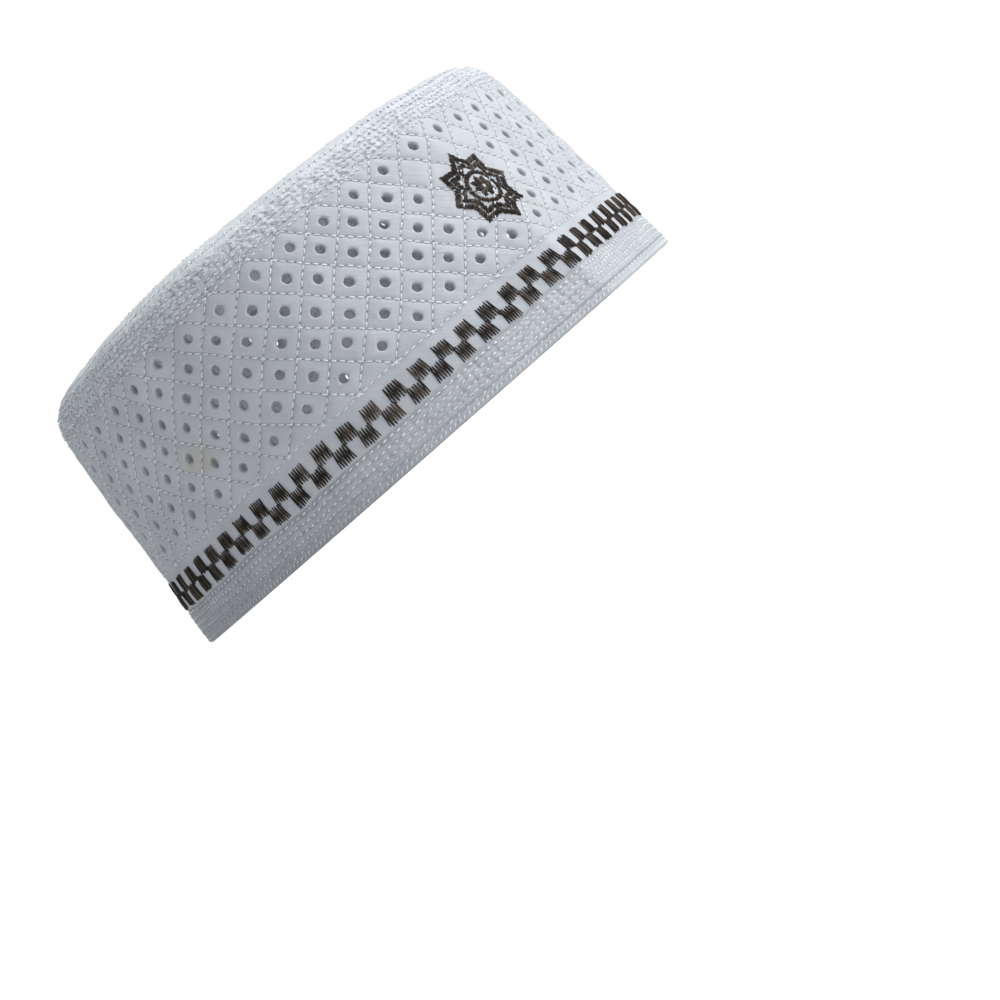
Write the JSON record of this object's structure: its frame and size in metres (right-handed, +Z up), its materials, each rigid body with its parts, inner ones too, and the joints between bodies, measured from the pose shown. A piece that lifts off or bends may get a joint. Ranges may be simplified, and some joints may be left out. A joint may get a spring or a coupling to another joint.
{
  "type": "kufi",
  "caption": "Round brimless cap of white quilted cloth punched with small holes, with a stitched hem, a dark brown checked border and an embroidered star on the front crease.",
  "frame": {"origin": "centre of the rim, on the plane that the cap rests on", "axes": "+Z up towards the crown, the front crease and its star face -Y, +X to the wearer's left"},
  "size_m": [0.1816, 0.1824, 0.0855],
  "materials": {
    "quilted_cloth": "matt white woven cloth with white quilting stitches",
    "stitched_cloth": "matt white cloth under close rows of white stitches",
    "brown_thread": "dark brown satin-stitched embroidery thread with a soft sheen"
  },
  "bodies": {
    "root": {"side_band": "quilted_cloth", "hem_band": "stitched_cloth", "top_band": "stitched_cloth", "crown_panel": "quilted_cloth", "check_border": "brown_thread", "front_star": "brown_thread"}
  },
  "joints": []
}
